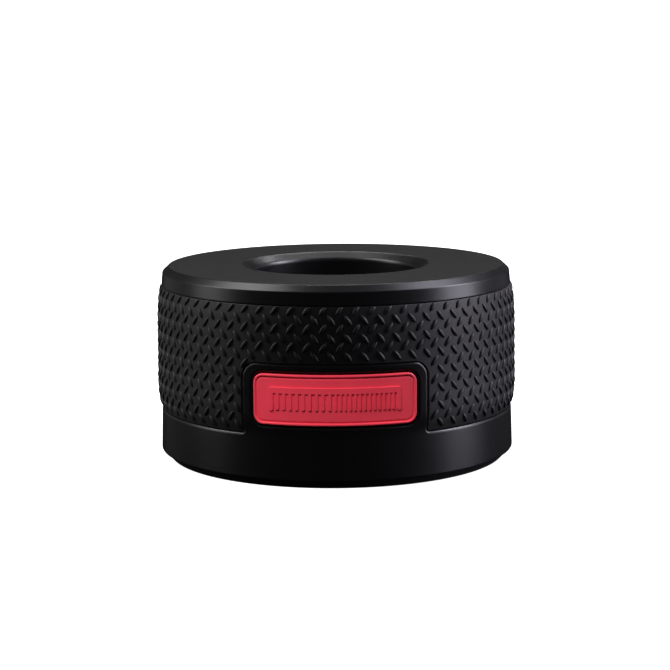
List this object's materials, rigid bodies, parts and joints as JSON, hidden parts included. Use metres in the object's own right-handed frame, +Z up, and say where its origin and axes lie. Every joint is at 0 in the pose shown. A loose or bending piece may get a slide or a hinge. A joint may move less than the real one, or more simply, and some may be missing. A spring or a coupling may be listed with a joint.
{
  "type": "hair clipper charging base",
  "caption": "Round weighted charging base with a well that a cordless hair clipper stands in, sprung contact pins, a ribbed grip band and a supply inlet at the back.",
  "frame": {"origin": "centre of the underside, on the table", "axes": "+Z up out of the well, -Y towards the badge at the front, +Y towards the supply inlet at the back, +X to the right seen from the front"},
  "size_m": [0.0886, 0.0884, 0.0476],
  "materials": {
    "shell_plastic": "satin black moulded plastic",
    "well_plastic": "satin black moulded plastic",
    "grip_plastic": "ribbed satin black plastic",
    "badge_red": "satin red plastic with a raised rim",
    "foam_tape": "thin adhesive foam",
    "foot_rubber": "matt black rubber",
    "ballast_iron": "zinc-coated cast iron",
    "block_plastic": "glass-filled plastic",
    "contact_brass": "gold-plated brass",
    "spring_steel": "drawn steel wire",
    "board_green": "green solder resist on glass-fibre board",
    "chip_black": "moulded chip with tinned legs",
    "capacitor_sleeve": "blue sleeve",
    "resistor_body": "lacquered body with tinned ends",
    "jack_plastic": "moulded inlet body",
    "inlet_trim": "smooth black trim ring",
    "plated_pin": "nickel-plated brass",
    "lead_red": "red insulation",
    "lead_black": "black insulation",
    "screw_steel": "zinc-plated steel"
  },
  "bodies": {
    "base": {"top_cover": "shell_plastic", "well_cup": "well_plastic", "grip_sleeve": "grip_plastic", "lower_housing": "shell_plastic", "badge": "badge_red", "badge_tape": "foam_tape", "bottom_cover": "shell_plastic", "foot_ring": "foot_rubber", "ballast_weight": "ballast_iron", "contact_block": "block_plastic", "pin_barrels": "contact_brass", "pin_spring_centre": "spring_steel", "pin_spring_left": "spring_steel", "pin_spring_right": "spring_steel", "circuit_board": "board_green", "charge_chip": "chip_black", "smoothing_capacitor": "capacitor_sleeve", "sense_resistor": "resistor_body", "dc_jack": "jack_plastic", "jack_centre_pin": "plated_pin", "jack_leaf_contact": "contact_brass", "inlet_bezel": "inlet_trim", "lead_positive": "lead_red", "lead_negative": "lead_black", "cover_screws": "screw_steel", "well_screws": "screw_steel", "board_screws": "screw_steel", "ballast_screws": "screw_steel"},
    "plunger_centre": {"contact_pin_centre": "contact_brass"},
    "plunger_left": {"contact_pin_left": "contact_brass"},
    "plunger_right": {"contact_pin_right": "contact_brass"}
  },
  "joints": [
    {"name": "contact_pin_centre_slide", "type": "slide", "parent": "base", "child": "plunger_centre", "axis": [0, 0, -1], "range_m": [0, 0.0018], "stiffness_N_per_m": 350, "springref_m": -0.0012, "deforming": ["pin_spring_centre"]},
    {"name": "contact_pin_left_slide", "type": "slide", "parent": "base", "child": "plunger_left", "axis": [0, 0, -1], "range_m": [0, 0.0018], "stiffness_N_per_m": 350, "springref_m": -0.0012, "deforming": ["pin_spring_left"]},
    {"name": "contact_pin_right_slide", "type": "slide", "parent": "base", "child": "plunger_right", "axis": [0, 0, -1], "range_m": [0, 0.0018], "stiffness_N_per_m": 350, "springref_m": -0.0012, "deforming": ["pin_spring_right"]}
  ]
}
